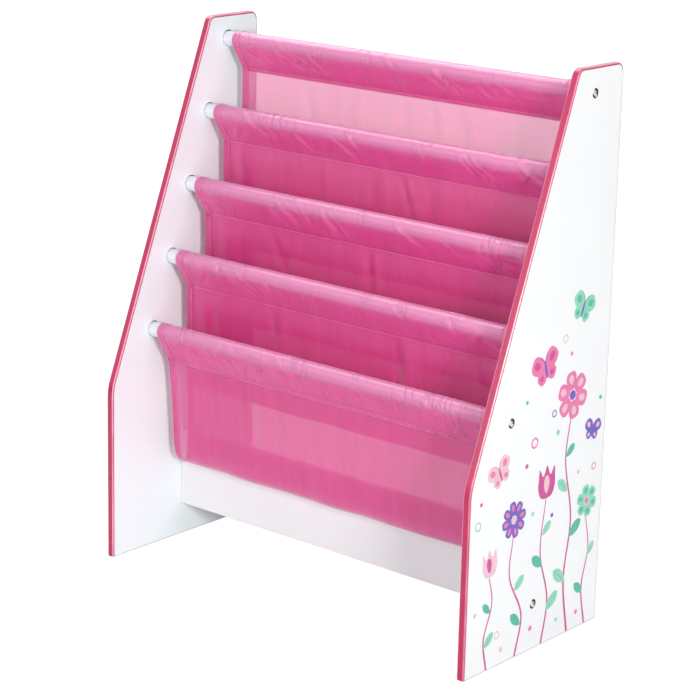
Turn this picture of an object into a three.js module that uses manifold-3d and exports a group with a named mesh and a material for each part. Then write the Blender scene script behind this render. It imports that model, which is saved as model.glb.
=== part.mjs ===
// Children's sling bookshelf: two shaped side boards with a coloured edge band, a bottom rail, five rods
// and a sewn cloth sling that hangs from the rods in four open pockets.
// Lengths are in millimetres. +X runs across the shelf, +Y to its back and +Z up.
// The origin is on the floor, in the middle of the shelf's footprint.

import * as THREE from "three";
import { mergeVertices, toCreasedNormals } from "three/addons/utils/BufferGeometryUtils.js";
import Module from "manifold-3d";

// Overall size
const width = 510;
const depth = 230;
const height = 600;

// Side boards: upright below the knee, sloping back above it, flat on top
const boardThickness = 9;
const kneeHeight = 198;
const kneeRadius = 60;
const topEdgeDepth = 76;
const topCornerRadius = 9;

// Edge band glued round the front, the slope and the top of each side board
const bandThickness = 2;
const bandArrisRadius = 1.8;
const bandArrisSteps = 3;
const glueLine = 0.3;

// Rods, evenly spaced between the lowest and the top one
const rodCount = 5;
const rodDiameter = 17;
const rodChamfer = 0.8;
const lowestRodRise = 58; // above the knee
const lowestRodSetback = 64; // behind the front edge
const topRodDrop = 27; // below the top edge
const topRodInset = 48; // in front of the back edge
const socketDepth = 4;
const socketClearance = 0.7; // all round, so a rod lies in the bottom of its socket

// Bottom rail
const railThickness = 9;
const railHeight = 90;
const railLift = 37.5;
const railClothGap = 2.7; // behind the lowest pocket
const railArrisRadius = 1;

// Wood screws through the side boards, with washer heads let into the outer face
const screwHeadDiameter = 9.6;
const screwHeadHeight = 2.2;
const screwHeadDome = 0.7;
const screwShankDiameter = 4;
const screwLength = 38;
const screwPointLength = 6;
const headRecessDepth = 2.6;
const headRecessClearance = 0.5;
const crossSpan = 5.2;
const crossWidth = 1.3;
const crossDepth = 1.2;
const railScrewRise = 12.5; // above the rail's lower edge

// Location pins that keep the rail from turning on its screws
const pinDiameter = 5;
const pinLength = 20;
const pinChamfer = 0.6;
const pinHoleInBoard = 5;
const railPinDrop = 22; // below the rail's upper edge

// Cloth sling
const clothThickness = 0.9;
const clothSideGap = 15; // between the cloth and each side board
const sleeveSlack = 0.4; // between a rod and its sleeve
const stitchDrop = 32.5; // from a rod's axis down to its stitch line
const stitchSetback = 8.6; // from a rod's axis back to its stitch line
const seamHeight = 2;
const pocketDrop = 128; // from a pocket's front stitch line down to its bottom
const foldDepth = 1.4;
const foldCount = 4;
const smallFoldShare = 0.35;
const smallFoldCount = 7;
const foldShiftShare = 0.27; // how far the folds move from one pocket to the next

// A pocket's profile from its front stitch line, down its front, round the bottom and up its back:
// shares of the step back to the next stitch line, and of the pocket's drop
const pocketProfileShares = [
  [0.13, 0.235],
  [0.27, 0.586],
  [0.34, 0.81],
  [0.44, 0.915],
  [0.66, 0.978],
  [0.88, 1],
  [1.06, 0.965],
  [1.13, 0.87],
  [1.12, 0.62],
  [1.07, 0.22],
];

// Small fits and the fineness of round shapes
const seatGap = 0.3;
const boreClearance = 0.3;
const overrun = 5;
const weldDistance = 0.0001;
const arcSteps = 4;
const rodSides = 24;
const boreSides = 24;
const smallSides = 16;
const sleeveArcSteps = 13;
const profileStepsPerPoint = 2;
const sheetSpans = 20;
const creaseAngle = Math.PI / 5;

// Places that follow from the sizes
const front = -depth / 2;
const back = depth / 2;
const topFront = back - topEdgeDepth;
const innerFace = width / 2 - boardThickness;
const rodRadius = rodDiameter / 2;
const lowestRod = new THREE.Vector2(front + lowestRodSetback, kneeHeight + lowestRodRise);
const topRod = new THREE.Vector2(back - topRodInset, height - topRodDrop);
const rodAxes = Array.from({ length: rodCount }, (_, step) =>
  topRod.clone().lerp(lowestRod, step / (rodCount - 1)),
);
const stitches = rodAxes.map((rod) =>
  rod.clone().add(new THREE.Vector2(stitchSetback, -stitchDrop)),
);

// The rail stands just behind the lowest pocket, which hangs from the last two stitch lines
const layerOffset = (clothThickness + seatGap) / 2;
const pocketSpan = (frontStitch, backStitch) => backStitch.x - frontStitch.x - 2 * layerOffset;
const lowestSpan = pocketSpan(stitches.at(-1), stitches.at(-2));
const furthestBackShare = Math.max(...pocketProfileShares.map(([backShare]) => backShare));
const lowestPocketBack =
  stitches.at(-1).x + layerOffset + furthestBackShare * lowestSpan + clothThickness / 2 + foldDepth;
const railMiddle = new THREE.Vector2(
  lowestPocketBack + railClothGap + railThickness / 2,
  railLift + railHeight / 2,
);
const railScrew = new THREE.Vector2(railMiddle.x, railLift + railScrewRise);
const railPin = new THREE.Vector2(railMiddle.x, railLift + railHeight - railPinDrop);
const clothWidth = 2 * (innerFace - clothSideGap);
const screwedRods = [0, rodCount - 1];

const wasm = await Module();
wasm.setup();

// Solids for joining and cutting
function solidFrom(geometry) {
  const bare = geometry.clone();
  bare.deleteAttribute("normal");
  bare.deleteAttribute("uv");
  const welded = mergeVertices(bare, weldDistance);
  return new wasm.Manifold(
    new wasm.Mesh({
      numProp: 3,
      vertProperties: welded.getAttribute("position").array,
      triVerts: new Uint32Array(welded.index.array),
    }),
  );
}

function geometryFrom(solid) {
  const { vertProperties, triVerts } = solid.getMesh();
  const geometry = new THREE.BufferGeometry();
  geometry.setAttribute("position", new THREE.BufferAttribute(vertProperties, 3));
  geometry.setIndex(new THREE.BufferAttribute(triVerts, 1));
  return geometry;
}

function cut(geometry, tools) {
  const body = tools.reduce((left, tool) => left.subtract(solidFrom(tool)), solidFrom(geometry));
  return geometryFrom(body);
}

// A shape drawn in the side view, y to the right and z up, pulled out along X
function pulledAcross(shape, fromX, options) {
  const geometry = new THREE.ExtrudeGeometry(shape, { curveSegments: arcSteps, ...options });
  const across = new THREE.Matrix4().makeBasis(
    new THREE.Vector3(0, 1, 0),
    new THREE.Vector3(0, 0, 1),
    new THREE.Vector3(1, 0, 0),
  );
  return geometry.applyMatrix4(across).translate(fromX, 0, 0);
}

// A profile of [radius, distance along] pairs turned about the X axis and set at a place in the side view
function turnedAcross(profile, sides, direction, fromX, place) {
  const points = profile.map(([radius, along]) => new THREE.Vector2(radius, along));
  const geometry = new THREE.LatheGeometry(points, sides);
  geometry.rotateZ(-direction * (Math.PI / 2));
  return geometry.translate(fromX, place.x, place.y);
}

// A plain round cutter along X
function boreTool(radius, fromX, toX, place, sides) {
  const profile = [
    [0, 0],
    [radius, 0],
    [radius, toX - fromX],
    [0, toX - fromX],
  ];
  return turnedAcross(profile, sides, 1, fromX, place);
}

// An outline through corners given counter-clockwise as { y, z, radius }, each rounded by its own arc
function roundedOutline(corners) {
  const shape = new THREE.Shape();
  const points = corners.map(({ y, z }) => new THREE.Vector2(y, z));
  corners.forEach(({ radius }, index) => {
    const corner = points[index];
    const before = points.at(index - 1);
    const after = points[(index + 1) % points.length];
    const into = corner.clone().sub(before).normalize();
    const out = after.clone().sub(corner).normalize();
    const turn = Math.atan2(into.cross(out), into.dot(out));
    const trim = radius * Math.tan(Math.abs(turn) / 2);
    const start = corner.clone().addScaledVector(into, -trim);
    if (index === 0) shape.moveTo(start.x, start.y);
    else shape.lineTo(start.x, start.y);
    if (radius === 0) return;
    const inward = new THREE.Vector2(-into.y, into.x).multiplyScalar(Math.sign(turn));
    const centre = start.clone().addScaledVector(inward, radius);
    const from = start.clone().sub(centre).angle();
    shape.absarc(centre.x, centre.y, radius, from, from + turn, turn < 0);
  });
  shape.closePath();
  return shape;
}

// Corners of a side board's front, slope and top, set in from the outer edge
const slope = new THREE.Vector2(topFront - front, height - kneeHeight).normalize();

function kneeCorner(inset) {
  const along = (inset * (1 - slope.y)) / slope.x;
  return {
    y: front + inset,
    z: kneeHeight + along * slope.y - inset * slope.x,
    radius: kneeRadius - inset,
  };
}

function topFrontCorner(inset) {
  const along = (height - inset - kneeHeight + inset * slope.x) / slope.y;
  return {
    y: front + along * slope.x + inset * slope.y,
    z: height - inset,
    radius: topCornerRadius - inset,
  };
}

function topBackCorner(inset) {
  return { y: back - inset, z: height - inset, radius: topCornerRadius - inset };
}

// The edge band ends where the top corner meets the back edge
const bandEnd = height - topCornerRadius;

function boardOutline(inset, footZ, backY) {
  return roundedOutline([
    { y: front + inset, z: footZ, radius: 0 },
    { y: backY, z: footZ, radius: 0 },
    { y: backY, z: bandEnd, radius: 0 },
    { y: back - inset, z: bandEnd, radius: 0 },
    topBackCorner(inset),
    topFrontCorner(inset),
    kneeCorner(inset),
  ]);
}

// Side boards: side is -1 for the left one and 1 for the right one
function sideBoard(side) {
  const outerX = (side * width) / 2;
  const innerX = side * innerFace;
  const lowX = Math.min(outerX, innerX);
  const outline = boardOutline(bandThickness + glueLine, 0, back);
  const board = pulledAcross(outline, lowX, { depth: boardThickness, bevelEnabled: false });
  const drilled = (radius, startX, endX, place, sides) => {
    const from = Math.min(startX, endX);
    return boreTool(radius, from, Math.max(startX, endX), place, sides);
  };
  const outside = outerX + side * overrun;
  const inside = innerX - side * overrun;
  const socketRise = new THREE.Vector2(0, socketClearance - seatGap);
  const sockets = rodAxes.map((rod) => {
    const radius = rodRadius + socketClearance;
    return drilled(radius, inside, innerX + side * socketDepth, rod.clone().add(socketRise), boreSides);
  });
  const screwPlaces = [...screwedRods.map((index) => rodAxes[index]), railScrew];
  const screwHoles = screwPlaces.map((place) =>
    drilled(screwShankDiameter / 2 + boreClearance, inside, outside, place, smallSides),
  );
  const recessRadius = screwHeadDiameter / 2 + headRecessClearance;
  const recesses = screwPlaces.map((place) =>
    drilled(recessRadius, outerX - side * headRecessDepth, outside, place, boreSides),
  );
  const pinHole = drilled(
    pinDiameter / 2 + boreClearance,
    inside,
    innerX + side * pinHoleInBoard,
    railPin,
    smallSides,
  );
  return cut(board, [...sockets, ...screwHoles, ...recesses, pinHole]);
}

// Edge band: the rounded rim of the board's outline, less the board itself
function edgeBand(side) {
  const lowX = Math.min((side * width) / 2, side * innerFace);
  const rim = roundedOutline([
    { y: front, z: -overrun, radius: 0 },
    { y: back, z: -overrun, radius: 0 },
    topBackCorner(0),
    topFrontCorner(0),
    kneeCorner(0),
  ]);
  const rounded = pulledAcross(rim, lowX + bandArrisRadius, {
    depth: boardThickness - 2 * bandArrisRadius,
    bevelEnabled: true,
    bevelThickness: bandArrisRadius,
    bevelSize: bandArrisRadius,
    bevelOffset: -bandArrisRadius,
    bevelSegments: bandArrisSteps,
  });
  const through = { depth: boardThickness + 2 * overrun, bevelEnabled: false };
  const core = boardOutline(bandThickness, -2 * overrun, back + overrun);
  const belowFloor = roundedOutline([
    { y: front - overrun, z: -2 * overrun, radius: 0 },
    { y: back + overrun, z: -2 * overrun, radius: 0 },
    { y: back + overrun, z: 0, radius: 0 },
    { y: front - overrun, z: 0, radius: 0 },
  ]);
  return cut(rounded, [
    pulledAcross(core, lowX - overrun, through),
    pulledAcross(belowFloor, lowX - overrun, through),
  ]);
}

// Rods: the screwed ones have a pilot bore in each end
const rodHalfLength = innerFace + socketDepth - seatGap;
const screwSeat = width / 2 - headRecessDepth + seatGap; // under a screw's head
const screwTip = screwSeat - screwLength;
const pilotEnd = screwTip - seatGap;

function rodGeometry(index) {
  const pilotRadius = screwShankDiameter / 2 + boreClearance;
  const bored = screwedRods.includes(index);
  const end = bored
    ? [
        [0, pilotEnd],
        [pilotRadius, pilotEnd],
        [pilotRadius, rodHalfLength],
        [rodRadius - rodChamfer, rodHalfLength],
        [rodRadius, rodHalfLength - rodChamfer],
      ]
    : [
        [0, rodHalfLength],
        [rodRadius - rodChamfer, rodHalfLength],
        [rodRadius, rodHalfLength - rodChamfer],
      ];
  const otherEnd = end.map(([radius, along]) => [radius, -along]);
  const profile = [...otherEnd, ...end.reverse()];
  return turnedAcross(profile, rodSides, 1, 0, rodAxes[index]);
}

// Bottom rail: a board with softened long edges, a pilot bore and a pin hole in each end
const railHalfLength = innerFace - seatGap;

function railGeometry() {
  const low = railMiddle.x - railThickness / 2;
  const high = railMiddle.x + railThickness / 2;
  const outline = roundedOutline([
    { y: low, z: railLift, radius: railArrisRadius },
    { y: high, z: railLift, radius: railArrisRadius },
    { y: high, z: railLift + railHeight, radius: railArrisRadius },
    { y: low, z: railLift + railHeight, radius: railArrisRadius },
  ]);
  const board = pulledAcross(outline, -railHalfLength, {
    depth: 2 * railHalfLength,
    bevelEnabled: false,
  });
  const screwRadius = screwShankDiameter / 2 + boreClearance;
  const pinRadius = pinDiameter / 2 + boreClearance;
  const outside = railHalfLength + overrun;
  const holes = [
    [screwRadius, pilotEnd, railScrew],
    [pinRadius, pinInnerEnd - seatGap, railPin],
  ].flatMap(([radius, depthX, place]) => [
    boreTool(radius, depthX, outside, place, smallSides),
    boreTool(radius, -outside, -depthX, place, smallSides),
  ]);
  return cut(board, holes);
}

// Wood screws: a low domed washer head with a cross recess, a plain shank and a point
function screwGeometry(side, place) {
  const headRadius = screwHeadDiameter / 2;
  const shankRadius = screwShankDiameter / 2;
  const domeEdge = screwHeadHeight - screwHeadDome;
  const domeShares = [
    [1, 0],
    [0.85, 0.6],
    [0.5, 0.93],
    [0, 1],
  ];
  const profile = [
    [0, -screwLength],
    [shankRadius, screwPointLength - screwLength],
    [shankRadius, 0],
    [headRadius, 0],
    ...domeShares.map(([out, up]) => [headRadius * out, domeEdge + screwHeadDome * up]),
  ];
  const screw = turnedAcross(profile, smallSides, side, side * screwSeat, place);
  const headTop = screwSeat + screwHeadHeight;
  const slot = (across, tall) =>
    new THREE.BoxGeometry(2 * crossDepth, across, tall).translate(side * headTop, place.x, place.y);
  return cut(screw, [slot(crossSpan, crossWidth), slot(crossWidth, crossSpan)]);
}

// Location pins between the rail and the side boards
const pinOuterEnd = innerFace + pinHoleInBoard - seatGap;
const pinInnerEnd = pinOuterEnd - pinLength;

function pinGeometry(side) {
  const radius = pinDiameter / 2;
  const profile = [
    [0, 0],
    [radius - pinChamfer, 0],
    [radius, pinChamfer],
    [radius, pinLength - pinChamfer],
    [radius - pinChamfer, pinLength],
    [0, pinLength],
  ];
  return turnedAcross(profile, smallSides, side, side * pinInnerEnd, railPin);
}

// Where a line from a point touches a circle, on the side that the sign names
function tangentAngle(centre, radius, point, sign) {
  const away = point.clone().sub(centre);
  return away.angle() + sign * Math.acos(radius / away.length());
}

// The drop-shaped loop round a rod, from the stitch line up the front, over and down the back
function loopOutline(rod, radius, frontFoot, backFoot) {
  const fromAngle = tangentAngle(rod, radius, frontFoot, -1);
  const toAngle = tangentAngle(rod, radius, backFoot, 1);
  const sweep = fromAngle - toAngle + 2 * Math.PI;
  const turn = sweep % (2 * Math.PI);
  const arc = Array.from({ length: sleeveArcSteps + 1 }, (_, step) => {
    const angle = fromAngle - (turn * step) / sleeveArcSteps;
    return new THREE.Vector2(Math.cos(angle), Math.sin(angle)).multiplyScalar(radius).add(rod);
  });
  return [frontFoot, ...arc, backFoot];
}

// Sleeves: the cloth goes round a rod and is sewn to itself along the stitch line
function sleeveGeometry(index) {
  const rod = rodAxes[index];
  const stitch = stitches[index];
  const halfSeam = layerOffset + clothThickness / 2;
  const foot = (setback, rise) => stitch.clone().add(new THREE.Vector2(setback, rise));
  const innerRadius = rodRadius + sleeveSlack;
  const outer = loopOutline(rod, innerRadius + clothThickness, foot(-halfSeam, 0), foot(halfSeam, 0));
  const throat = foot(0, seamHeight);
  const inner = loopOutline(rod, innerRadius, throat, throat);
  const shape = new THREE.Shape(outer.reverse());
  shape.holes.push(new THREE.Path(inner.slice(0, -1)));
  return pulledAcross(shape, -clothWidth / 2, { depth: clothWidth, bevelEnabled: false });
}

// Soft folds along a pocket, from -1 to 1
function foldAt(share, pocket) {
  const turn = 2 * Math.PI;
  const broad = Math.sin(turn * (foldCount * share + foldShiftShare * pocket));
  const small = Math.sin(turn * (smallFoldCount * share - foldShiftShare * pocket));
  return (broad + smallFoldShare * small) / (1 + smallFoldShare);
}

// Pockets: one open sheet that hangs between two stitch lines; its folds deepen towards the bottom
function pocketGeometry(pocket) {
  const frontStitch = stitches[pocket + 1];
  const backStitch = stitches[pocket];
  const across = pocketProfileShares.map(
    ([backShare, dropShare]) =>
      new THREE.Vector3(
        0,
        frontStitch.x + layerOffset + backShare * pocketSpan(frontStitch, backStitch),
        frontStitch.y - dropShare * pocketDrop,
      ),
  );
  const curve = new THREE.CatmullRomCurve3([
    new THREE.Vector3(0, frontStitch.x + layerOffset, frontStitch.y - seatGap),
    ...across,
    new THREE.Vector3(0, backStitch.x - layerOffset, backStitch.y - seatGap),
  ]);
  const steps = profileStepsPerPoint * (across.length + 1);
  const profile = curve.getPoints(steps);
  const normals = profile.map((_, index) => {
    const tangent = curve.getTangent(index / steps);
    return new THREE.Vector3(0, -tangent.z, tangent.y).normalize();
  });
  const lowest = frontStitch.y - pocketDrop;
  return sheetGeometry(steps, sheetSpans, (row, column, face) => {
    const share = column / sheetSpans;
    const point = profile[row];
    const top = row < steps / 2 ? frontStitch.y : backStitch.y;
    const hang = THREE.MathUtils.smoothstep(top - point.z, 0, top - lowest);
    return point
      .clone()
      .addScaledVector(normals[row], (face * clothThickness) / 2)
      .add(
        new THREE.Vector3(
          (share - 1 / 2) * clothWidth,
          foldDepth * hang * foldAt(share, pocket),
          0,
        ),
      );
  });
}

// A closed sheet of even thickness: place(row, column, face) gives a point, face is -1 or 1
function sheetGeometry(rows, columns, place) {
  const positions = [];
  for (const face of [-1, 1])
    for (let row = 0; row <= rows; row++)
      for (let column = 0; column <= columns; column++)
        positions.push(...place(row, column, face).toArray());
  const layer = (rows + 1) * (columns + 1);
  const under = (row, column) => row * (columns + 1) + column;
  const over = (row, column) => layer + under(row, column);
  const index = [];
  const quad = (a, b, c, d) => index.push(a, b, c, a, c, d);
  for (let row = 0; row < rows; row++) {
    for (let column = 0; column < columns; column++) {
      const [a, b] = [under(row, column), under(row, column + 1)];
      const [c, d] = [under(row + 1, column + 1), under(row + 1, column)];
      quad(a, d, c, b);
      quad(layer + a, layer + b, layer + c, layer + d);
    }
    quad(under(row, 0), over(row, 0), over(row + 1, 0), under(row + 1, 0));
    quad(under(row + 1, columns), over(row + 1, columns), over(row, columns), under(row, columns));
  }
  for (let column = 0; column < columns; column++) {
    quad(under(0, column + 1), over(0, column + 1), over(0, column), under(0, column));
    quad(under(rows, column), over(rows, column), over(rows, column + 1), under(rows, column + 1));
  }
  const geometry = new THREE.BufferGeometry();
  geometry.setAttribute("position", new THREE.Float32BufferAttribute(positions, 3));
  geometry.setIndex(index);
  return geometry;
}

// Finishes
const finish = (color, roughness, metalness) =>
  new THREE.MeshStandardMaterial({ color, roughness, metalness });
const whiteBoard = finish(0xf7f7f9, 0.35, 0);
const pinkBand = finish(0xc8466e, 0.35, 0);
const whiteRod = finish(0xeaebf0, 0.4, 0);
const pinkCloth = finish(0xe0659a, 0.75, 0);
const steel = finish(0xb4b4b8, 0.3, 1);
const beech = finish(0xd8b98c, 0.7, 0);

// The assembly
const bookshelf = new THREE.Group();

function addPiece(name, geometry, material) {
  const mesh = new THREE.Mesh(toCreasedNormals(geometry, creaseAngle), material.clone());
  mesh.name = name;
  bookshelf.add(mesh);
}

for (const [side, hand] of [
  [-1, "left"],
  [1, "right"],
]) {
  addPiece(`side_panel_${hand}`, sideBoard(side), whiteBoard);
  addPiece(`edge_band_${hand}`, edgeBand(side), pinkBand);
  addPiece(`screw_top_${hand}`, screwGeometry(side, rodAxes[0]), steel);
  addPiece(`screw_front_${hand}`, screwGeometry(side, rodAxes[rodCount - 1]), steel);
  addPiece(`screw_rail_${hand}`, screwGeometry(side, railScrew), steel);
  addPiece(`location_pin_${hand}`, pinGeometry(side), beech);
}
addPiece("bottom_rail", railGeometry(), whiteBoard);
for (let index = 0; index < rodCount; index++) {
  addPiece(`rod_${index + 1}`, rodGeometry(index), whiteRod);
  addPiece(`sling_sleeve_${index + 1}`, sleeveGeometry(index), pinkCloth);
}
for (let pocket = 0; pocket < rodCount - 1; pocket++)
  addPiece(`sling_pocket_${pocket + 1}`, pocketGeometry(pocket), pinkCloth);

export default bookshelf;
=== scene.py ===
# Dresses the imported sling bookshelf: printed white boards, pink edging, rods and a sewn cloth sling.
# Lengths are in metres. +X runs across the shelf, +Y to its back and +Z up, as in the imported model.

import math
import random

import bmesh
import bpy
import numpy as np
from mathutils import Matrix, Vector, noise
from mathutils.geometry import tessellate_polygon


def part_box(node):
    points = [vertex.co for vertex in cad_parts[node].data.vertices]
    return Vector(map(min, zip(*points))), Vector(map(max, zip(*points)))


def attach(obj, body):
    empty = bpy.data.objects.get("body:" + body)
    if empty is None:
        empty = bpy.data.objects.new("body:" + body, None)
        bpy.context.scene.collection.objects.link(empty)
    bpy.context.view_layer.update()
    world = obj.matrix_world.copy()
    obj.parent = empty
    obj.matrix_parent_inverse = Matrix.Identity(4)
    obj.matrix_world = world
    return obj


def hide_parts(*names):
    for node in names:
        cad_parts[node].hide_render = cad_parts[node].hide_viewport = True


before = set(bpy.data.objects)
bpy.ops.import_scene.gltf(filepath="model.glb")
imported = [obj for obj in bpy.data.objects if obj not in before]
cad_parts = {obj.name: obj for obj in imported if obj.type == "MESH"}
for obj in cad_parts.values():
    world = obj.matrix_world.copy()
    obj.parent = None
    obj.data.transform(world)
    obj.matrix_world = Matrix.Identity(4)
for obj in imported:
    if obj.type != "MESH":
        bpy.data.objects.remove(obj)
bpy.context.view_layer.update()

mm = 0.001
full_turn = 2 * math.pi

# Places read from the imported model
ROD_COUNT = 5
ROD_NAMES = [f"rod_{number}" for number in range(1, ROD_COUNT + 1)]
rod_boxes = [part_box(name) for name in ROD_NAMES]
rods = [np.array([(low.y + high.y) / 2, (low.z + high.z) / 2]) for low, high in rod_boxes]
rod_radius = (rod_boxes[0][1].z - rod_boxes[0][0].z) / 2
board_low, board_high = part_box("edge_band_right")
outer_face = board_high.x
inner_face = board_low.x
cloth_half_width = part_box("sling_sleeve_1")[1].x

# The sling, cut as one strip; these sizes are the part's own
STITCH_DROP = 32.5 * mm  # from a rod's axis down to its stitch line
STITCH_SETBACK = 8.6 * mm  # from a rod's axis back to its stitch line
POCKET_DROP = 128 * mm  # from a pocket's front stitch line down to its bottom
FOLD_DEPTH = 1.4 * mm
FOLD_COUNT = 4
SMALL_FOLD_SHARE = 0.35
SMALL_FOLD_COUNT = 7
FOLD_SHIFT_SHARE = 0.27  # how far the folds move from one pocket to the next

# A pocket's profile from its front stitch line, down its front, round the bottom and up its back:
# shares of the step back to the next stitch line, and of the pocket's drop
POCKET_PROFILE_SHARES = [
    (0.13, 0.235),
    (0.27, 0.586),
    (0.34, 0.81),
    (0.44, 0.915),
    (0.66, 0.978),
    (0.88, 1.0),
    (1.06, 0.965),
    (1.13, 0.87),
    (1.12, 0.62),
    (1.07, 0.22),
]
stitches = [rod + np.array([STITCH_SETBACK, -STITCH_DROP]) for rod in rods]

# How the cloth lies, and how fine its mesh is
SLEEVE_RADIUS = rod_radius + 0.7 * mm
LAYER_OFFSET = 0.45 * mm  # from a stitch line to the cloth on either side of it
SLEEVE_SPACING = 2.2 * mm
POCKET_SPACING = 4.6 * mm
COLUMN_SPACING = 2 * mm
HEM_WIDTH = 9.5 * mm
HEM_LIFT = 0.5 * mm
HEM_COLUMNS = 4
END_LAYER = 0.4 * mm  # between the two layers of a turned-in end
END_TURN = 3.4 * mm  # how far an end reaches below its seam
END_TUCK = 7 * mm  # how far its tucked-in part reaches above the seam

# Creases, slack and puckers
SLANTING_CREASES = 20
LONG_CREASES = 5
POCKET_CREASES = 16
CREASE_SEED = 41
SLEEVE_SLACK = 0.3 * mm  # how far a sleeve's cloth stands off its path
SLEEVE_DIP = 0.2 * mm  # how far its creases may dip below that path
SLACK_REACH = 14 * mm  # from a seam to where a pocket's cloth waves freely
PUCKER_PITCH = 8.5 * mm
PUCKER_DEPTH = 0.25 * mm
PUCKER_REACH = 5 * mm

# Stitches
STITCH_PITCH = 3.9 * mm
STITCH_LENGTH = 2.7 * mm
STITCH_WIDTH = 0.62 * mm
HEM_STITCH_INSET = 1.6 * mm

# The print: its inks as a screen shows them, and how its thin plates lie on a board
INKS = {
    "rose": (206, 78, 148),
    "pink": (234, 122, 172),
    "blush": (238, 196, 208),
    "mint": (146, 216, 188),
    "teal": (84, 188, 160),
    "violet": (116, 94, 190),
}
PLATE_SKIN = 0.035 * mm
LAYER_STEP = 0.14  # of a skin, so that neighbours in a layer don't coincide
STEPS_IN_LAYER = 6

# The faint waves of a coated face
COATING_SCALE = 420
COATING_DEPTH = 0.03 * mm

# The photograph's camera, fitted to the boards' corners, the rods and the screws
IMAGE_SIZE = 700  # pixels each way
FOCAL_PIXELS = 2313.1
AXIS_ROW = 315  # the pixel row that the camera's axis meets
SENSOR_WIDTH = 36  # millimetres, as Blender counts it
EYE = (1.5384, -1.8286, 0.947)
EYE_DEGREES = (40.084, 14.945, 1.344)  # round the shelf, downwards, and rolled

# The studio: each lamp's name, place, aim, size and watts
LAMPS = [
    ("key", (2.08, -1.1, 0.83), (0, 0, 0.35), (0.45, 0.45), 32),
    ("overhead", (0.9, -0.45, 2.1), (0, 0, 0.3), (1.4, 1.0), 10),
    ("rim", (-1.0, 0.4, 1.8), (0, 0, 0.4), (1.4, 1.2), 25),
    ("front", (0.4, -2.4, 0.8), (0.1, 0, 0.25), (1.0, 1.2), 10),
    ("left_fill", (-0.55, -1.0, 0.75), (-0.1, 0, 0.35), (0.8, 0.8), 2.5),
    ("behind", (-0.5, 2.2, 0.9), (0, 0, 0.35), (1.5, 1.5), 5),
]
WORLD_LEVEL = 0.165
BACKGROUND_LEVEL = 1.02
FLOOR_LEVEL = 1.16
FLOOR_SIZE = 60
FLOOR_DROP = 0.2 * mm


class Wire:
    """An output of a node. Sums on wires add the Math nodes that work them out."""

    def __init__(self, finish, socket):
        self.finish = finish
        self.socket = socket

    def __add__(self, other):
        return self.finish.sum("ADD", self, other)

    __radd__ = __add__

    def __sub__(self, other):
        return self.finish.sum("SUBTRACT", self, other)

    def __rsub__(self, other):
        return self.finish.sum("SUBTRACT", other, self)

    def __mul__(self, other):
        return self.finish.sum("MULTIPLY", self, other)

    __rmul__ = __mul__

    def __truediv__(self, other):
        return self.finish.sum("DIVIDE", self, other)

    def __pow__(self, other):
        return self.finish.sum("POWER", self, other)

    def __abs__(self):
        return self.finish.sum("ABSOLUTE", self)


class Finish:
    """The nodes of one new material, or of the world."""

    def __init__(self, name, owners=None):
        self.owner = (bpy.data.materials if owners is None else owners).new(name)
        self.owner.use_nodes = True
        self.tree = self.owner.node_tree
        self.tree.nodes.clear()

    def node(self, kind, settings=None, inputs=None, output=0):
        """Adds a node: first its settings, then its sockets' values or links. Gives one output."""
        made = self.tree.nodes.new(kind)
        for name, value in (settings or {}).items():
            setattr(made, name, value)
        for name, value in (inputs or {}).items():
            socket = self.pick(made.inputs, name)
            if isinstance(value, Wire):
                self.tree.links.new(value.socket, socket)
            elif socket.type == "RGBA" and len(value) == 3:
                socket.default_value = (*value, 1)
            else:
                socket.default_value = value
        return Wire(self, self.pick(made.outputs, output)) if made.outputs else None

    @staticmethod
    def pick(sockets, name):
        if isinstance(name, int):
            return sockets[name]
        return next(s for s in sockets if s.enabled and s.name == name)

    def sum(self, operation, *values):
        return self.node("ShaderNodeMath", {"operation": operation}, dict(enumerate(values)))

    def coordinates(self, output="Object"):
        return self.node("ShaderNodeTexCoord", output=output)

    def axes(self, place):
        parts = self.node("ShaderNodeSeparateXYZ", {}, {"Vector": place}).socket.node
        return [Wire(self, socket) for socket in parts.outputs]

    def stretched(self, place, scale, turned=0.0):
        values = {"Vector": place, "Rotation": (0, 0, turned), "Scale": scale}
        return self.node("ShaderNodeMapping", {}, values)

    def noise(self, place, scale, detail=3.0, roughness=0.5):
        values = {"Vector": place, "Scale": scale, "Detail": detail, "Roughness": roughness}
        return self.node("ShaderNodeTexNoise", {}, values)

    def between(self, value, low, high, to_low=0.0, to_high=1.0):
        ends = {"From Min": low, "From Max": high, "To Min": to_low, "To Max": to_high}
        settings = {"interpolation_type": "SMOOTHSTEP"}
        return self.node("ShaderNodeMapRange", settings, {"Value": value, **ends})

    def spread(self, cloud):
        """A noise stretched so that it goes from 0 to 1."""
        return self.between(cloud, 0.3, 0.7)

    def shine(self, cloud, smooth, rough):
        return self.between(cloud, 0.25, 0.75, smooth, rough)

    def mixed(self, factor, first, second):
        values = {"Factor": factor, "A": first, "B": second}
        return self.node("ShaderNodeMix", {"data_type": "RGBA"}, values, "Result")

    def bump(self, height, distance):
        return self.node("ShaderNodeBump", {}, {"Height": height, "Distance": distance})

    def coating(self, place):
        """The faint waves of a coated face."""
        return self.noise(place, COATING_SCALE, 2)

    def surface(self, tone, roughness, relief, more=None):
        inputs = {"Base Color": tone, "Roughness": roughness, "Normal": relief, **(more or {})}
        return self.node("ShaderNodeBsdfPrincipled", {}, inputs)

    def blended(self, factor, first, second):
        return self.node("ShaderNodeMixShader", {}, {0: factor, 1: first, 2: second})

    def done(self, shader, output="ShaderNodeOutputMaterial"):
        self.node(output, {"target": "ALL"}, {"Surface": shader})
        return self.owner


def linear(red, green, blue):
    """A colour as seen on a screen, 0 to 255 each, as the shaders take it."""

    def one(value):
        value /= 255
        return value / 12.92 if value <= 0.04045 else ((value + 0.055) / 1.055) ** 2.4

    return one(red), one(green), one(blue)


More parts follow.
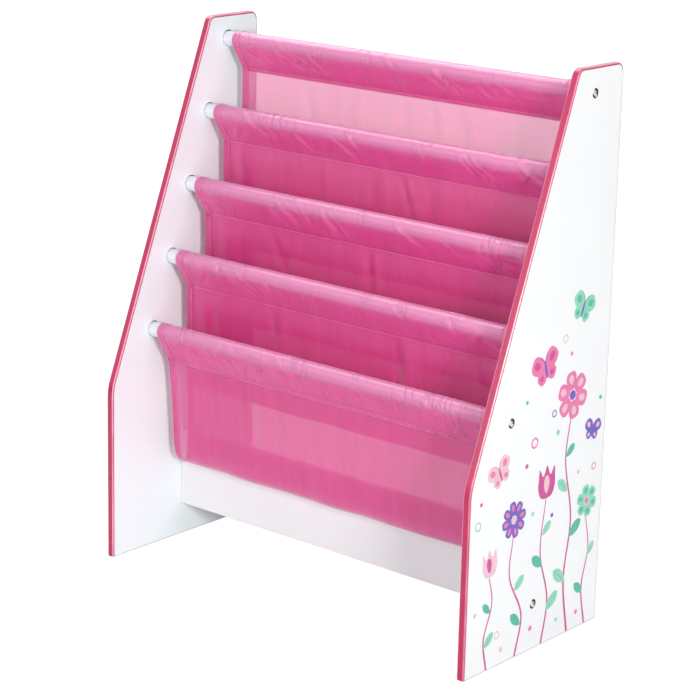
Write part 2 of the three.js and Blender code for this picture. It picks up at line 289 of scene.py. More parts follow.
# Finishes
def faced_board():
    """White facing on fibreboard, with a grey line along the back edge and the foot of its faces.
    The bores show raw fibreboard, painted darker to stand for the shade inside them. The inner faces are
    painted a cooler white, against the glow of the pink cloth on them."""
    f = Finish("white_facing")
    place = f.coordinates()
    x, y, z = f.axes(place)
    cloud = f.noise(place, 9, 2)
    white = f.mixed(f.spread(cloud), linear(241, 243, 245), linear(244, 245, 246))
    inward = f.between(abs(x), inner_face + 0.2 * mm, inner_face + 0.1 * mm)
    white = f.mixed(inward, white, linear(237, 246, 248))
    # Raw fibreboard, painted darker to stand for the shade in the bores and recesses.
    raw_and_shaded_core = f.mixed(f.noise(place, 900, 4, 0.7), linear(104, 84, 64), linear(140, 114, 86))
    skin = 0.25 * mm
    core = f.between(abs(x), inner_face + skin, inner_face + 2 * skin)
    core = core * f.between(abs(x), outer_face - skin, outer_face - 2 * skin)
    line = 1.2 * mm
    at_back = f.between(y, board_high.y - line, board_high.y - line / 2)
    at_foot = f.between(z, line, line / 2)
    rim = 1 - (1 - at_back) * (1 - at_foot)
    tone = f.mixed(core * (1 - rim), white, raw_and_shaded_core)
    tone = f.mixed((1 - core) * rim * 0.9, tone, linear(186, 186, 192))
    peel = f.bump(f.coating(place) * 0.8 + f.noise(place, 1400, 2) * 0.2, COATING_DEPTH)
    return f.done(f.surface(tone, f.shine(cloud, 0.3, 0.36), peel))


def rail_facing():
    f = Finish("rail_facing")
    place = f.coordinates()
    cloud = f.noise(place, 7, 2)
    tone = f.mixed(f.spread(cloud), linear(240, 240, 243), linear(243, 243, 245))
    peel = f.bump(f.coating(place), COATING_DEPTH)
    return f.done(f.surface(tone, f.shine(cloud, 0.32, 0.38), peel))


def pink_edging():
    """Semi-gloss edging. Pale lines painted along its arrises stand for their shine in the photo."""
    f = Finish("pink_edging")
    place = f.coordinates()
    cloud = f.noise(place, 40, 3)
    tone = f.mixed(f.spread(cloud), linear(180, 26, 80), linear(190, 32, 90))
    half = (outer_face - inner_face) / 2
    outward = abs(f.axes(place)[0]) - (outer_face - half)
    off = abs(outward)
    pale = f.between(off, half - 1.8 * mm, half - 1.1 * mm)
    pale = pale * f.between(off, half - 0.05 * mm, half - 0.35 * mm)
    pale = pale * f.between(outward, -half / 2, half / 2, 1, 0.55)
    pale = pale * f.between(f.noise(place, 30, 3), 0.3, 0.7, 0.6, 1)
    tone = f.mixed(pale, tone, linear(248, 168, 192))
    drawn = f.bump(f.noise(f.stretched(place, (3000, 200, 200)), 1, 2), 0.02 * mm)
    coat = {"Coat Weight": 0.2, "Coat Roughness": 0.18}
    return f.done(f.surface(tone, f.shine(cloud, 0.26, 0.34), drawn, coat))


def painted_rod():
    f = Finish("rod_paint")
    along = f.noise(f.stretched(f.coordinates(), (12, 300, 300)), 1, 3)
    tone = f.mixed(f.spread(along), linear(226, 230, 238), linear(233, 236, 243))
    brushed = f.bump(along, 0.04 * mm)
    return f.done(f.surface(tone, f.shine(along, 0.3, 0.42), brushed))


def bright_steel(name, head):
    """Zinc plate. The dark sides of the domed head are painted, for what it mirrors in the photo."""
    f = Finish(name)
    place = f.coordinates()
    _, y, z = f.axes(place)
    low, high = head
    radius = (high.z - low.z) / 2
    rearward = (y - (low.y + high.y) / 2) / radius
    upward = (z - (low.z + high.z) / 2) / radius
    off = (rearward**2 + upward**2) ** 0.5
    rear = f.between(rearward * 0.8 + upward * 0.6, 0.1, 0.45) * f.between(off, 0.35, 0.62)
    foot = f.between(rearward * -0.6 + upward * -0.8, 0.45, 0.75)
    dark = f.sum("MAXIMUM", rear, foot)
    rough = f.noise(place, 700, 4)
    bright = f.mixed(f.spread(rough), linear(226, 227, 230), linear(243, 244, 246))
    tone = f.mixed(dark, bright, linear(58, 60, 66))
    shine = f.between(rough, 0.2, 0.8, 0.16, 0.3)
    metal = {"Metallic": f.between(dark, 0, 0.8, 0.25, 1)}
    return f.done(f.surface(tone, shine, f.bump(rough, 0.02 * mm), metal))


def plain_beech():
    f = Finish("beech_wood")
    grain = f.noise(f.stretched(f.coordinates(), (90, 1200, 1200)), 1, 4, 0.6)
    tone = f.mixed(f.spread(grain), linear(214, 181, 138), linear(190, 152, 108))
    return f.done(f.surface(tone, 0.65, f.bump(grain, 0.08 * mm)))


def pink_polyester(first_sleeve, sleeve_pitch, sleeve_length):
    """Thin plain weave with slubs down the strip, closer between a rod and its seam. Some light goes
    through it, and some between its threads. Its shine over a rod is a painted paler tone."""
    f = Finish("pink_polyester")
    flat = f.coordinates("UV")
    slubs = f.noise(f.stretched(flat, (900, 26, 1)), 1, 3, 0.6)
    picks = f.noise(f.stretched(flat, (40, 700, 1)), 1, 2, 0.6)
    broad = f.noise(f.stretched(flat, (70, 9, 1)), 1, 2)
    grain = f.noise(flat, 800, 2, 0.7)
    crossing = {"Vector": flat, "Scale": 330}
    warp, weft = (
        f.node("ShaderNodeTexWave", {"bands_direction": axis}, crossing, "Fac") for axis in "XY"
    )
    weave = warp * weft
    threads = f.spread(slubs) * 0.3 + f.spread(broad) * 0.4
    threads = threads + f.spread(picks) * 0.1 + f.spread(grain) * 0.2

    turn = f.sum("FRACT", (f.axes(flat)[1] - first_sleeve) / sleeve_pitch)
    sleeve_share = sleeve_length / sleeve_pitch
    on_sleeve = f.between(turn, 0, 0.03) * f.between(turn, sleeve_share, sleeve_share - 0.03)
    over_rod = f.between(abs(turn / sleeve_share - 0.51), 0.21, 0.04)
    tone = f.mixed(threads, linear(226, 44, 140), linear(236, 68, 158))
    tone = f.mixed(over_rod * 0.55, tone, linear(240, 152, 202))

    drawn = f.noise(f.stretched(flat, (95, 24, 1), turned=0.45), 1, 1.5)
    lines = (1 - abs(drawn - 0.5) * 2) ** 14
    marks = lines * f.between(f.noise(flat, 17, 2), 0.5, 0.62) * on_sleeve
    relief = f.bump(weave * 0.04 + slubs * 0.06 + picks * 0.02 + grain * 0.06 + marks, 0.9 * mm)
    more = {
        "IOR": 1.6,
        "Specular IOR Level": 1.0,
        "Sheen Weight": 1.0,
        "Sheen Roughness": 0.3,
        "Sheen Tint": (1, 0.9, 0.96),
        "Alpha": 0.63 + weave * 0.06 + threads * 0.08 + on_sleeve * (1 - over_rod) * 0.2,
    }
    face = f.surface(tone, f.between(slubs, 0.3, 0.7, 0.32, 0.4), relief, more)
    glow = f.node("ShaderNodeBsdfTranslucent", {}, {"Color": linear(238, 116, 186)})
    return f.done(f.blended(0.09, face, glow))


def sewing_thread():
    f = Finish("sewing_thread")
    ply = f.noise(f.coordinates(), 2600, 2)
    tone = f.mixed(f.spread(ply), linear(240, 150, 196), linear(250, 186, 216))
    return f.done(f.surface(tone, 0.6, f.bump(ply, 0.06 * mm)))


def ink(name, colour):
    f = Finish(name)
    place = f.coordinates()
    cloud = f.noise(place, 60, 3)
    deeper = tuple(value * 0.93 for value in colour)
    tone = f.mixed(f.between(cloud, 0.35, 0.65), colour, deeper)
    peel = f.bump(f.coating(place), COATING_DEPTH)
    return f.done(f.surface(tone, f.shine(cloud, 0.3, 0.37), peel))


def studio_floor():
    """White floor that keeps a soft shadow where the camera looks."""
    f = Finish("studio_floor")
    away = f.node("ShaderNodeVectorMath", {"operation": "LENGTH"}, {0: f.coordinates()}, "Value")
    seen = f.node("ShaderNodeLightPath", output="Is Camera Ray")
    plain = f.node("ShaderNodeBsdfDiffuse", {}, {"Color": (0.88, 0.88, 0.88)})
    white = f.node("ShaderNodeEmission", {}, {"Color": (1, 1, 1), "Strength": FLOOR_LEVEL})
    return f.done(f.blended(seen * f.between(away, 0.6, 2.5, 0.8, 1), plain, white))


def studio_air():
    """The world: dim to the object, white to the camera and in mirrors and glass."""
    f = Finish("studio", bpy.data.worlds)
    camera_ray, glossy_ray, through_ray = (
        f.node("ShaderNodeLightPath", output=f"Is {kind} Ray")
        for kind in ("Camera", "Glossy", "Transmission")
    )
    white = f.sum("MAXIMUM", f.sum("MAXIMUM", camera_ray, glossy_ray), through_ray)
    level = f.between(white, 0, 1, WORLD_LEVEL, BACKGROUND_LEVEL)
    back = f.node("ShaderNodeBackground", {}, {"Color": (1, 1, 1), "Strength": level})
    return f.done(back, "ShaderNodeOutputWorld")


# Meshes
def mesh_piece(name, points, faces, material, smooth=True, closed=True):
    mesh = bpy.data.meshes.new(name)
    mesh.from_pydata([tuple(point) for point in points], [], faces)
    if closed:
        shell = bmesh.new()
        shell.from_mesh(mesh)
        bmesh.ops.recalc_face_normals(shell, faces=shell.faces)
        shell.to_mesh(mesh)
        shell.free()
    mesh.polygons.foreach_set("use_smooth", [smooth] * len(mesh.polygons))
    mesh.materials.append(material)
    mesh.update()
    piece = bpy.data.objects.new(name, mesh)
    bpy.context.scene.collection.objects.link(piece)
    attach(piece, "root")
    return piece


def distances(line):
    return np.concatenate([[0], np.cumsum(np.linalg.norm(np.diff(line, axis=0), axis=1))])


def evenly(line, spacing):
    along = distances(line)
    count = max(2, round(along[-1] / spacing))
    wanted = np.linspace(0, along[-1], count + 1)
    return np.stack([np.interp(wanted, along, line[:, axis]) for axis in range(2)], axis=1)


def through(points, steps):
    """A smooth line through the points, closest where they are close."""
    points = np.asarray(points, float)
    first, last = 2 * points[0] - points[1], 2 * points[-1] - points[-2]
    padded = np.concatenate([[first], points, [last]])
    line = []
    for a, b, c, d in zip(padded, padded[1:], padded[2:], padded[3:]):
        gaps = [math.sqrt(np.linalg.norm(q - p)) for p, q in ((a, b), (b, c), (c, d))]
        start = (b - a) / gaps[0] - (c - a) / (gaps[0] + gaps[1]) + (c - b) / gaps[1]
        end = (c - b) / gaps[1] - (d - b) / (gaps[1] + gaps[2]) + (d - c) / gaps[2]
        start, end = start * gaps[1], end * gaps[1]
        square = -3 * b + 3 * c - 2 * start - end
        cube = 2 * b - 2 * c + start + end
        line.extend(b + start * t + square * t**2 + cube * t**3 for t in np.arange(steps) / steps)
    line.append(points[-1])
    return np.array(line)


# The strip's path in the side view, as points of y and z
def round_rod(rod, back_foot, front_foot):
    """From the back of a seam up round the rod and down to the front of the seam."""

    def touch(foot, sign):
        away = foot - rod
        lean = math.atan2(away[1], away[0])
        return lean + sign * math.acos(SLEEVE_RADIUS / np.linalg.norm(away))

    angles = np.linspace(touch(back_foot, 1), touch(front_foot, -1) + full_turn, 40)
    arc = rod + SLEEVE_RADIUS * np.stack([np.cos(angles), np.sin(angles)], axis=1)
    return np.concatenate([[back_foot], arc, [front_foot]])


def turned_end(seam, rise_before, rise_after):
    """A turned-in end of the strip: down past the seam, round and up again, one layer further back."""
    knee = END_LAYER - END_TURN
    down = [(0, rise_before), (0, knee), (END_LAYER / 2, -END_TURN)]
    up = [(END_LAYER, knee), (END_LAYER, rise_after)]
    return evenly(seam + np.array(down + up), SLEEVE_SPACING / 2)


def pocket_line(number, seam_front):
    """From a sleeve's seam down the pocket's back, round its bottom and up to the next sleeve's seam,
    and how far down the pocket each point hangs, from 0 to 1."""
    upper, lower = stitches[number], stitches[number + 1]
    seam_back = lower + [LAYER_OFFSET, 0]
    step = upper[0] - lower[0] - 2 * LAYER_OFFSET
    profile = [
        seam_back + [back * step, -drop * POCKET_DROP] for back, drop in reversed(POCKET_PROFILE_SHARES)
    ]
    line = evenly(through([seam_front, *profile, seam_back], 8), POCKET_SPACING)
    behind = np.arange(len(line)) < np.argmin(line[:, 1])
    hung_from = np.where(behind, upper[1], lower[1])
    share = np.clip((hung_from - line[:, 1]) / (hung_from - (lower[1] - POCKET_DROP)), 0, 1)
    return line, share**2 * (3 - 2 * share)


def strip_path():
    """Rows of the strip: place, part (sleeve or pocket number) and how far down its pocket each hangs."""
    places, parts, hang = [], [], []

    def add(line, kind, number, shares=None):
        keep = line[1:] if places else line
        places.extend(keep)
        parts.extend([(kind, number)] * len(keep))
        hang.extend(np.zeros(len(keep)) if shares is None else shares[-len(keep) :])

    add(turned_end(stitches[0] + [LAYER_OFFSET, 0], END_TUCK, 0), "end", 0)
    for number, seam in enumerate(stitches):
        last = number == ROD_COUNT - 1
        seam_front = seam - [LAYER_OFFSET + (END_LAYER if last else 0), 0]
        sleeve = evenly(round_rod(rods[number], places[-1], seam_front), SLEEVE_SPACING)
        add(sleeve, "sleeve", number)
        if not last:
            pocket, shares = pocket_line(number, seam_front)
            add(pocket, "pocket", number, shares)
    add(turned_end(places[-1], 0, END_TUCK), "end", ROD_COUNT - 1)
    return np.array(places), parts, np.array(hang)


def sleeve_rhythm():
    """Along the flat strip: where the first sleeve starts, how far apart sleeves are, their length."""
    places, parts, _ = strip_path()
    along = distances(places)
    first, second = (along[parts.index(("sleeve", number))] for number in range(2))
    return first, second - first, along[parts.index(("pocket", 0))] - first


def strip_columns():
    """Across the strip: distance from the middle, and how far a turned-over hem lies off it."""
    edge = cloth_half_width
    count = round(2 * edge / COLUMN_SPACING)
    middle = np.linspace(-edge, edge, count + 1)
    hem = [
        (edge + HEM_LIFT * 0.4, HEM_LIFT / 2),
        (edge - HEM_LIFT / 2, HEM_LIFT),
        (edge - HEM_WIDTH / 2, HEM_LIFT * 1.25),
        (edge - HEM_WIDTH, HEM_LIFT * 0.8),
    ]
    hem_x, hem_lift = np.array(hem).T
    across = np.concatenate([-hem_x[::-1], middle, hem_x])
    lift = np.concatenate([hem_lift[::-1], np.zeros(count + 1), hem_lift])
    return across, lift


# Folds and creases
def fold_at(share, pocket):
    broad = np.sin(full_turn * (FOLD_COUNT * share + FOLD_SHIFT_SHARE * pocket))
    small = np.sin(full_turn * (SMALL_FOLD_COUNT * share - FOLD_SHIFT_SHARE * pocket))
    return (broad + SMALL_FOLD_SHARE * small) / (1 + SMALL_FOLD_SHARE)


def ridge(offset):
    """A soft crease: a rounded ridge with a shallow hollow beside it."""
    return np.exp(-(offset**2)) - 0.55 * np.exp(-(((offset - 1.7) / 1.3) ** 2))


def within(place, start, length):
    """1 in the middle of a stretch, fading to 0 at its ends."""
    share = np.clip((place - start) / length, 0, 1)
    return np.sin(math.pi * share) ** 0.8


def sleeve_creases(rng, across, down, span):
    """Creases drawn over a sleeve: slanting ones from rod to seam, long ones near the ends."""
    height = np.zeros((len(down), len(across)))
    for _ in range(SLANTING_CREASES):
        start = rng.uniform(0.46, 0.72) * span
        length = rng.uniform(0.2, 0.4) * span
        middle = rng.uniform(-cloth_half_width, cloth_half_width)
        slant = rng.uniform(0.25, 1.2) * (1 if rng.random() < 0.78 else -0.7)
        bend = rng.uniform(-12, 12)
        wide = rng.uniform(1.6, 4.0) * mm
        deep = rng.uniform(0.8, 2.2) * mm
        run = down[:, None] - start
        offset = (across[None, :] - middle - slant * run - bend * run**2) / wide
        height += deep * ridge(offset) * within(down, start, length)[:, None]
    for _ in range(LONG_CREASES):
        side = 1 if rng.random() < 0.65 else -1
        length = rng.uniform(50, 130) * mm
        start = side * cloth_half_width * rng.uniform(0.45, 0.98) - length / 2
        level = rng.uniform(0.62, 0.9) * span
        slant = rng.uniform(-0.1, 0.1)
        wide = rng.uniform(2.0, 3.4) * mm
        deep = rng.uniform(0.5, 1.1) * mm
        run = across[None, :] - start
        offset = (down[:, None] - level - slant * run) / wide
        height += deep * ridge(offset) * within(across, start, length)[None, :]
    return height


def pocket_creases(rng, across, down, span):
    """Broad slack folds that fall from a pocket's seams and fade towards its bottom."""
    height = np.zeros((len(down), len(across)))
    for _ in range(POCKET_CREASES):
        front = rng.random() < 0.5
        length = rng.uniform(0.14, 0.36) * span
        start = span - length * 0.9 if front else -length * 0.1
        middle = rng.uniform(-cloth_half_width, cloth_half_width)
        slant = rng.uniform(-0.45, 0.45)
        wide = rng.uniform(4.5, 10) * mm
        deep = rng.uniform(0.6, 1.7) * mm
        run = down[:, None] - (span if front else 0)
        offset = (across[None, :] - middle - slant * run) / wide
        height += deep * ridge(offset) * within(down, start, length)[:, None]
    return height


def rows_of(parts, along, kind, number):
    """Which rows are a part's own, and how far down it each of them lies."""
    mine = np.array([part == (kind, number) for part in parts])
    return mine, along[mine] - along[mine][0]


def sleeve_relief(rng, parts, along, across):
    """How far the sleeves stand off the path, where they are drawn over their rods."""
    off = np.zeros((len(along), len(across)))
    for number in range(ROD_COUNT):
        mine, down = rows_of(parts, along, "sleeve", number)
        ease = np.sin(math.pi * np.clip(down / down[-1], 0, 1)) ** 0.5
        drawn = sleeve_creases(rng, across, down, down[-1])
        off[mine] = np.maximum((drawn + SLEEVE_SLACK) * ease[:, None], -SLEEVE_DIP)
    return off


def pocket_relief(rng, parts, along, across, hang):
    """How far the pockets lie behind the path, in their hanging folds and slack creases."""
    back = np.zeros((len(along), len(across)))
    share = np.clip(across / (2 * cloth_half_width) + 0.5, 0, 1)
    for number in range(ROD_COUNT - 1):
        mine, down = rows_of(parts, along, "pocket", number)
        folds = FOLD_DEPTH * hang[mine][:, None] * fold_at(share, number)[None, :]
        back[mine] = folds + pocket_creases(rng, across, down, down[-1])
    return back


def fine_slack(parts, along, across, hang, gap):
    """Small waves of the hanging cloth, weaker beside its seams and towards its bottom."""
    back = np.zeros((len(along), len(across)))
    for row, (kind, number) in enumerate(parts):
        if kind != "pocket":
            continue
        soft = min(1, gap[row] / SLACK_REACH) * (1 - 0.75 * hang[row])
        for column, x in enumerate(across):
            wide = noise.noise(Vector((x * 26, along[row] * 7, number * 3.7)))
            small = noise.noise(Vector((x * 70, along[row] * 22, number * 5.1)))
            back[row, column] = soft * (wide + 0.4 * small) * mm
    return back


def seam_pucker(across, gap):
    """Small gathers beside each seam, none on the seam itself."""
    gathers = np.sin(across * full_turn / PUCKER_PITCH + 2.4 * np.sin(across * 61))
    near = np.exp(-gap / PUCKER_REACH) * (gap > 0)
    return PUCKER_DEPTH * near[:, None] * gathers[None, :]


def lay_flat(piece, cut, along):
    """Gives the sheet a UV map that is its flat cut, in metres."""
    chart = piece.data.uv_layers.new(name="flat_cut")
    corners = np.zeros(len(piece.data.loops), np.int32)
    piece.data.loops.foreach_get("vertex_index", corners)
    flat = np.stack([cut[corners % len(cut)], along[corners // len(cut)]], axis=1)
    chart.data.foreach_set("uv", flat.astype(np.float32).ravel())


def sling_cloth(material):
    """The strip as one sheet. Also gives what the sewing needs, and the size of its flat cut."""
    places, parts, hang = strip_path()
    across, lift = strip_columns()
    along = distances(places)
    rows, columns = len(places), len(across)
    seam_rows = [row - 1 for row in range(1, rows) if parts[row] != parts[row - 1]]
    gap = np.min([np.abs(along - along[row]) for row in seam_rows], axis=0)
    rng = random.Random(CREASE_SEED)
    reach = sleeve_relief(rng, parts, along, across) + lift[None, :]
    back = pocket_relief(rng, parts, along, across, hang)
    back += fine_slack(parts, along, across, hang, gap) + seam_pucker(across, gap)

    tangent = np.gradient(places, axis=0)
    tangent /= np.linalg.norm(tangent, axis=1)[:, None]
    points = np.empty((rows, columns, 3))
    points[:, :, 0] = across[None, :]
    points[:, :, 1] = places[:, :1] + tangent[:, 1:] * reach + back
    points[:, :, 2] = places[:, 1:] - tangent[:, :1] * reach
    grid = np.arange(rows * columns).reshape(rows, columns)
    faces = np.stack([grid[:-1, :-1], grid[:-1, 1:], grid[1:, 1:], grid[1:, :-1]], axis=-1)
    faces = faces.reshape(-1, 4).tolist()
    piece = mesh_piece("sling_cloth", points.reshape(-1, 3), faces, material, closed=False)
    cut = distances(np.stack([across, lift], axis=1))
    lay_flat(piece, cut, along)
    sleeves = [f"sling_sleeve_{number}" for number in range(1, ROD_COUNT + 1)]
    pockets = [f"sling_pocket_{number}" for number in range(1, ROD_COUNT)]
    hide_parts(*sleeves, *pockets)
    facing = np.cross(np.gradient(points, axis=0), np.gradient(points, axis=1))
    facing /= np.maximum(np.linalg.norm(facing, axis=2), 1e-9)[:, :, None]
    return piece, points, facing, across, seam_rows, (float(cut[-1]), float(along[-1]))


# Sewing
def sewn_line(line, facing):
    """Stitches along a line on the cloth, each a short thread that dips in at its ends."""
    run = distances(line)
    points, faces = [], []
    shares = np.array([0, 0.25, 0.75, 1])
    rises = np.array([-0.25, 0.6, 0.6, -0.25]) * STITCH_WIDTH / 2
    radii = np.array([0.3, 1, 1, 0.3]) * STITCH_WIDTH / 2
    turns = [(1, 0), (0, 1), (-1, 0), (0, -1)]

    def at(values, place):
        return np.array([np.interp(place, run, values[:, axis]) for axis in range(3)])

    for start in np.arange(STITCH_PITCH / 2, run[-1] - STITCH_LENGTH, STITCH_PITCH):
        ahead = at(line, start + STITCH_LENGTH) - at(line, start)
        ahead /= np.linalg.norm(ahead)
        base = len(points)
        for share, rise, radius in zip(shares, rises, radii):
            place = start + share * STITCH_LENGTH
            out = at(facing, place)
            out /= np.linalg.norm(out)
            side = np.cross(ahead, out)
            middle = at(line, place) + out * rise
            points.extend(middle + radius * (side * a + out * b) for a, b in turns)
        for ring in range(3):
            for i in range(4):
                a, b = base + ring * 4 + i, base + ring * 4 + (i + 1) % 4
                faces.append((a, b, b + 4, a + 4))
        faces.append((base + 3, base + 2, base + 1, base))
        faces.append((base + 12, base + 13, base + 14, base + 15))
    return points, faces


def sewing(name, lines, material):
    points, faces = [], []
    for line, facing in lines:
        more, sides = sewn_line(line, facing)
        start = len(points)
        points.extend(more)
        faces.extend(tuple(start + i for i in side) for side in sides)
    piece = mesh_piece(name, points, faces, material)
    return piece


def seam_lines(points, facing, seam_rows):
    """Across the sling at each rod's seam, on its back and its front; the lowest has a second line."""
    margin = HEM_COLUMNS + 2
    inner = slice(margin, -margin)
    return [(points[row, inner], facing[row, inner]) for row in [*seam_rows, seam_rows[-1] + 2]]


def hem_lines(points, facing, across):
    """Down both sides of the sling, on both faces of the turned-over hem."""
    lines = []
    for side in (-1, 1):
        wanted = side * (cloth_half_width - HEM_WIDTH + HEM_STITCH_INSET)
        column = HEM_COLUMNS + np.argmin(np.abs(across[HEM_COLUMNS:-HEM_COLUMNS] - wanted))
        line, out = points[:, column], facing[:, column]
        lines.append((line + out * HEM_LIFT * 1.3, out))
        lines.append((line, -out))
    return lines


# Print on the boards' outer faces, drawn as y and z in millimetres
def stroke(points, widths):
    line = through(np.asarray(points, float), 8)
    side = np.gradient(line, axis=0)
    side = np.stack([-side[:, 1], side[:, 0]], axis=1) / np.linalg.norm(side, axis=1)[:, None]
    shares = np.linspace(0, 1, len(line))
    half = np.interp(shares, np.linspace(0, 1, len(widths)), widths)[:, None] / 2
    return np.concatenate([line + side * half, (line - side * half)[::-1]])


def petal(length, width, fullness=1.2, steps=14):
    """A petal from the origin along +z; the fuller, the blunter its ends."""
    t = np.linspace(0, math.pi, steps)
    y = width / 2 * np.sin(t) ** (2 / fullness - 0.6) * (1 + 0.25 * np.sin(t - 0.9))
    z = length * (1 - np.cos(t)) / 2
    left = np.stack([-y, z], axis=1)
    return np.concatenate([left, left[::-1][1:-1] * [-1, 1]])


def disc(radius, steps=26):
    t = np.linspace(0, full_turn, steps, endpoint=False)
    return radius * np.stack([np.cos(t), np.sin(t)], axis=1)


def placed(outline, place, degrees=0.0, size=1.0):
    a = math.radians(degrees)
    turn = np.array([[math.cos(a), -math.sin(a)], [math.sin(a), math.cos(a)]])
    return outline @ turn.T * size + np.asarray(place, float)


class Meadow:
    """The print's shapes: each an ink, a layer and its outlines."""

    def __init__(self):
        self.shapes = []

    def add(self, tint, layer, *loops):
        step = LAYER_STEP * (len(self.shapes) % STEPS_IN_LAYER)
        self.shapes.append((tint, layer + step, loops))

    def stem(self, points, width=3.4):
        self.add("rose", 0, stroke(points, [width, width * 0.75, width * 0.5]))

    def leaf(self, place, degrees, length, tint, vein=None):
        self.add(tint, 1, placed(petal(length, length * 0.42, 1.0), place, degrees))
        if vein:
            line = stroke([(0, length * 0.14), (0.4, length * 0.5), (0, length * 0.8)], [0.9, 0.5])
            self.add(vein, 2, placed(line, place, degrees))

    def flower(self, place, radius, count, tint, accent, middle):
        wide = 1.16 * radius * math.sin(math.pi / count)
        outer = placed(petal(radius * 0.78, wide, 1.7), (0, radius * 0.22))
        inner = placed(petal(radius * 0.4, wide * 0.46, 1.2), (0, radius * 0.46))
        for number in range(count):
            degrees = 360 * number / count + 11
            self.add(tint, 2, placed(outer, place, degrees))
            self.add(accent, 3, placed(inner, place, degrees))
        self.add(middle, 4, placed(disc(radius * 0.2), place))

    def tulip(self, place, size, tint, accent, degrees=0):
        half = [(0, -14), (8, -12), (12.5, -3), (12.2, 6), (11, 15), (5.4, 7.5), (0, 17)]
        cup = half + [(-y, z) for y, z in half[::-1][1:]]
        self.add(tint, 2, placed(through(cup, 5)[:-1], place, degrees, size))
        self.add(accent, 3, placed(petal(17, 7), np.array(place) + (0, -9 * size), degrees, size))

    def butterfly(self, place, size, degrees, tint, accent, body):
        for side in (-1, 1):
            for turn, length, wide in ((52, 21, 15), (126, 14, 11)):
                lean = degrees + side * turn
                wing = placed(petal(length, wide, 1.6), (0, 1.2))
                self.add(tint, 1, placed(wing, place, lean, size))
                spot = placed(petal(length * 0.45, wide * 0.42), (0, length * 0.44))
                self.add(accent, 2, placed(spot, place, lean, size))
            feeler = stroke([(0, 6), (side * 2.2, 11), (side * 5.5, 14.5)], [0.9, 0.7])
            self.add(body, 2, placed(feeler, place, degrees, size))
        self.add(body, 3, placed(disc(1) * (1.5, 8.5), place, degrees, size))

    def ring(self, place, radius, tint):
        self.add(tint, 1, placed(disc(radius), place), placed(disc(radius * 0.66), place))

    def dot(self, place, radius, tint):
        self.add(tint, 1, placed(disc(radius, 18), place))


def meadow():
    """Five flowers on stems from the foot of the board, butterflies over them, rings and dots between."""
    m = Meadow()
    m.stem([(62, 1), (52, 62), (60, 128), (46, 196), (52, 240)])
    m.leaf((54, 60), 52, 27, "mint", "teal")
    m.leaf((58, 108), -54, 25, "teal")
    m.leaf((51, 160), 48, 23, "mint", "teal")
    m.leaf((47, 198), -50, 18, "teal")
    m.flower((53, 263), 26, 6, "pink", "blush", "violet")

    m.stem([(16, 1), (24, 48), (8, 104), (14, 160)], 3.0)
    m.leaf((22, 36), -50, 26, "mint", "teal")
    m.leaf((12, 88), 52, 23, "teal")
    m.leaf((10, 122), -48, 19, "mint")
    m.tulip((14, 177), 1.15, "rose", "blush")

    m.stem([(-30, 1), (-21, 44), (-44, 92), (-40, 134)], 3.0)
    m.leaf((-23, 34), 48, 22, "teal")
    m.leaf((-35, 74), -50, 21, "mint", "teal")
    m.flower((-40, 152), 20, 8, "violet", "pink", "blush")

    m.stem([(-78, 1), (-84, 34), (-72, 72), (-78, 100)], 2.8)
    m.leaf((-83, 26), -48, 20, "mint", "teal")
    m.leaf((-75, 62), 46, 17, "teal")
    m.tulip((-78, 114), 0.95, "blush", "rose", 6)

    m.stem([(94, 1), (86, 44), (95, 86), (88, 122)], 2.8)
    m.leaf((87, 38), 48, 20, "teal")
    m.leaf((94, 78), -40, 17, "mint", "teal")
    m.flower((88, 140), 18, 6, "mint", "teal", "pink")

    m.butterfly((4, 300), 1.15, 16, "pink", "rose", "violet")
    m.butterfly((64, 352), 1.0, -22, "mint", "teal", "violet")
    m.butterfly((-66, 206), 0.95, 24, "blush", "pink", "rose")
    m.butterfly((92, 216), 0.75, -12, "violet", "blush", "violet")

    m.ring((-100, 160), 5, "mint")
    m.ring((-10, 226), 6, "pink")
    m.ring((22, 250), 4, "violet")
    m.ring((36, 326), 4.5, "blush")
    m.ring((98, 176), 4, "pink")
    m.ring((-62, 34), 4.5, "blush")

    m.dot((-22, 204), 2.6, "rose")
    m.dot((30, 228), 3, "mint")
    m.dot((-100, 66), 2.6, "blush")
    m.dot((-4, 24), 3, "pink")
    m.dot((42, 20), 2.4, "mint")
    m.dot((-54, 16), 3, "blush")
    m.dot((78, 18), 2.6, "pink")
    m.dot((48, 308), 2.2, "pink")
    m.dot((-26, 272), 2.2, "teal")
    m.dot((26, 140), 2.4, "violet")
    m.dot((-8, 150), 2.6, "mint")
    m.dot((70, 176), 2.4, "blush")
    m.dot((-96, 182), 2.2, "rose")
    m.dot((104, 250), 2.4, "teal")
    return m.shapes


def printed(name, shapes, side, material):
    """One ink of the print: thin plates on a board's outer face, each at its layer's height."""
    points, faces = [], []
    for layer, loops in shapes:
        top = side * (outer_face + PLATE_SKIN * (layer + 1))
        sunk = side * (outer_face - PLATE_SKIN)
        start = len(points)
        count = sum(len(loop) for loop in loops)
        for x in (top, sunk):
            points.extend((x, y * mm, z * mm) for loop in loops for y, z in loop)
        flat = [[Vector((y, z, 0)) for y, z in loop] for loop in loops]
        for a, b, c in tessellate_polygon(flat):
            faces.append((start + a, start + b, start + c))
            faces.append((start + count + c, start + count + b, start + count + a))
        base = start
        for loop in loops:
            for i in range(len(loop)):
                a, b = base + i, base + (i + 1) % len(loop)
                faces.append((a, b, b + count, a + count))
            base += len(loop)
    piece = mesh_piece(name, points, faces, material, smooth=False)


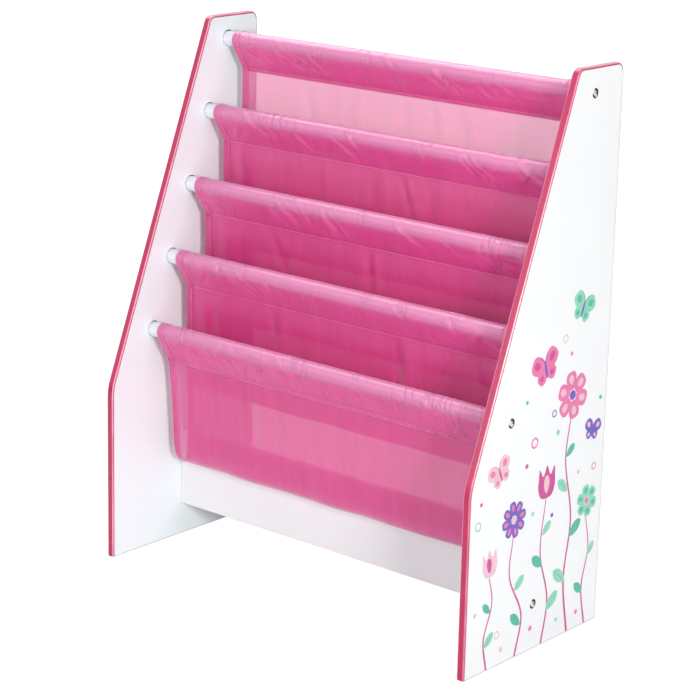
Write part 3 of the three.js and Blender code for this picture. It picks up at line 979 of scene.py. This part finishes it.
# Camera and studio
def camera():
    data = bpy.data.cameras.new("camera")
    data.sensor_width = SENSOR_WIDTH
    data.lens = SENSOR_WIDTH * FOCAL_PIXELS / IMAGE_SIZE
    data.shift_y = (AXIS_ROW - IMAGE_SIZE / 2) / IMAGE_SIZE
    data.clip_start, data.clip_end = 0.1, 50
    eye = bpy.data.objects.new("camera", data)
    bpy.context.scene.collection.objects.link(eye)
    round_it, down, roll = (math.radians(value) for value in EYE_DEGREES)
    ahead = Vector(
        (-math.sin(round_it) * math.cos(down), math.cos(round_it) * math.cos(down), -math.sin(down))
    )
    level = Vector((math.cos(round_it), math.sin(round_it), 0))
    upward = level.cross(ahead)
    right = level * math.cos(roll) + upward * math.sin(roll)
    up = upward * math.cos(roll) - level * math.sin(roll)
    turn = Matrix((right, up, -ahead)).transposed().to_4x4()
    eye.matrix_world = Matrix.Translation(EYE) @ turn
    bpy.context.scene.camera = eye


def soft_light(name, place, aim, size, watts):
    data = bpy.data.lights.new(name, "AREA")
    data.shape = "RECTANGLE"
    data.size, data.size_y = size
    data.energy = watts
    lamp = bpy.data.objects.new(name, data)
    lamp.location = place
    lamp.rotation_euler = (Vector(aim) - Vector(place)).to_track_quat("-Z", "Y").to_euler()
    bpy.context.scene.collection.objects.link(lamp)


def studio():
    bpy.context.scene.world = studio_air()
    bpy.ops.mesh.primitive_plane_add(size=FLOOR_SIZE, location=(0, 0, -FLOOR_DROP))
    floor = bpy.context.object
    floor.name = "floor"
    floor.data.materials.append(studio_floor())
    for lamp in LAMPS:
        soft_light(*lamp)


def dress(material, *names):
    """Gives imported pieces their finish."""
    for name in names:
        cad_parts[name].material_slots[0].material = material


camera()
studio()

dress(faced_board(), "side_panel_left", "side_panel_right")
dress(rail_facing(), "bottom_rail")
dress(pink_edging(), "edge_band_left", "edge_band_right")
dress(painted_rod(), *ROD_NAMES)
dress(plain_beech(), "location_pin_left", "location_pin_right")
for screw in ("top", "front", "rail"):
    steel = bright_steel(f"{screw}_screw_zinc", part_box(f"screw_{screw}_right"))
    dress(steel, f"screw_{screw}_left", f"screw_{screw}_right")

cloth, points, facing, across, seam_rows, flat_size = sling_cloth(pink_polyester(*sleeve_rhythm()))
thread = sewing_thread()
sewn = [
    sewing("seam_stitches", seam_lines(points, facing, seam_rows), thread),
    sewing("hem_stitches", hem_lines(points, facing, across), thread),
]

shapes = meadow()
for tint, colour in INKS.items():
    print_ink = ink(f"{tint}_ink", linear(*colour))
    layers = [(layer, loops) for name, layer, loops in shapes if name == tint]
    printed(f"print_{tint}_right", layers, 1, print_ink)
    printed(f"print_{tint}_left", layers, -1, print_ink)

bpy.context.scene.view_settings.view_transform = "Standard"
